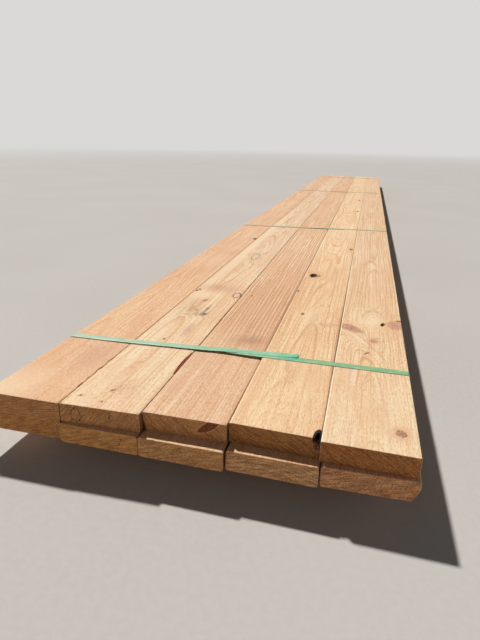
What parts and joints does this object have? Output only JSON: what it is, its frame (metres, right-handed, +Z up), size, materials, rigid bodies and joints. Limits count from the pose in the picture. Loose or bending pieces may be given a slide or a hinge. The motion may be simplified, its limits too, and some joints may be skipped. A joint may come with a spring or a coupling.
{
  "type": "bundle of pine studs",
  "caption": "Two-layer stack of dressed pine boards with staggered ends, held by green plastic straps and lifted off the ground on crosswise bearers.",
  "frame": {"origin": "on the ground, under the middle of the whole bundle", "axes": "+Y along the boards away from the near end, +X across the boards to the right, +Z up"},
  "size_m": [0.7118, 6.0266, 0.1166],
  "materials": {
    "pine": "dressed, bare",
    "strap": "embossed, half gloss",
    "bearer": "sawn, bare"
  },
  "bodies": {
    "root": {"board_top_1": "pine", "board_top_2": "pine", "board_top_3": "pine", "board_top_4": "pine", "board_top_5": "pine", "board_bottom_1": "pine", "board_bottom_2": "pine", "board_bottom_3": "pine", "board_bottom_4": "pine", "board_bottom_5": "pine", "bearer_1": "bearer", "bearer_2": "bearer", "bearer_3": "bearer", "bearer_4": "bearer", "bearer_5": "bearer", "strap_1": "strap", "strap_2": "strap", "strap_3": "strap", "strap_4": "strap"}
  },
  "joints": []
}
